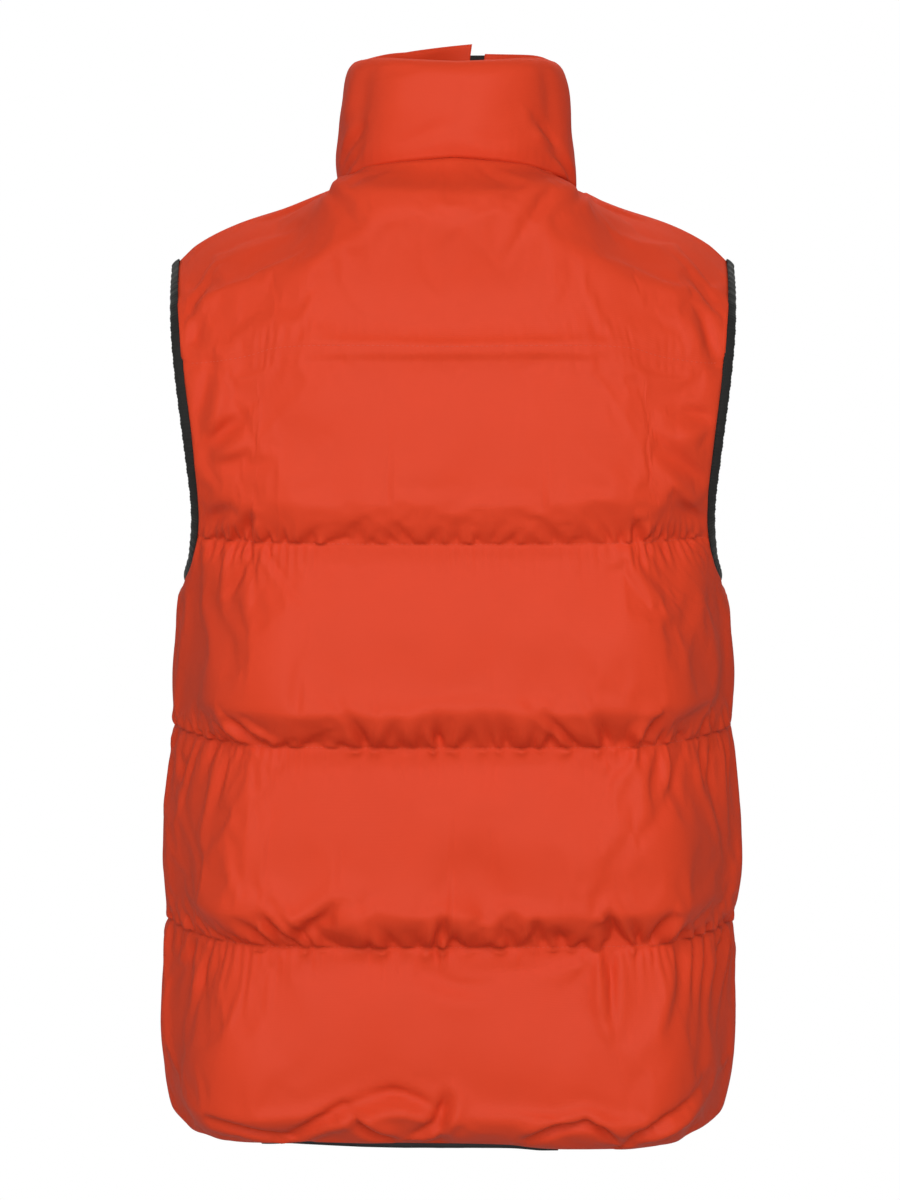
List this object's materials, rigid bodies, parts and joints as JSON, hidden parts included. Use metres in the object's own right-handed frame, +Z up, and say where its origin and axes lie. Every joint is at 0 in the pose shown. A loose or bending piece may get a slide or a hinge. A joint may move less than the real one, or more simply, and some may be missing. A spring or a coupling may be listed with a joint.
{
  "type": "puffer vest",
  "caption": "Sleeveless quilted puffer jacket in orange-red cloth with a padded stand collar, dark armhole bindings and a front zip, filled out as when worn.",
  "frame": {"origin": "middle of the neck opening, level with the points where the shoulder seams meet the collar; the wearer's neck and shoulders hold it there", "axes": "+Z up along the wearer's back, +Y towards the garment's back, -Y its zipped front, +X the wearer's left"},
  "size_m": [0.4196, 0.2829, 0.7825],
  "materials": {
    "shell": "orange-red woven nylon with a soft sheen, quilted over padding",
    "binding": "matt black ribbed elastic tape",
    "lining": "smooth black lining cloth",
    "zip_tape": "matt black woven zip tape",
    "zip_teeth": "black moulded teeth",
    "zip_metal": "dark semi-gloss enamel",
    "zip_pull": "black satin enamel"
  },
  "bodies": {
    "vest": {"back": "shell", "front_left": "shell", "front_right": "shell", "collar": "shell", "armhole_binding_left": "binding", "armhole_binding_right": "binding", "hem_lining": "lining", "zip_tape_left": "zip_tape", "zip_tape_right": "zip_tape", "zip_chain": "zip_teeth", "zip_slider": "zip_metal"},
    "zip_pull": {"zip_pull": "zip_pull"}
  },
  "joints": [
    {"name": "zip_pull_hinge", "type": "hinge", "parent": "vest", "child": "zip_pull", "pos_m": [-0.01575, -0.09082, 0.08025], "axis": [-1, 0, 0], "range_deg": [0, 150]}
  ]
}
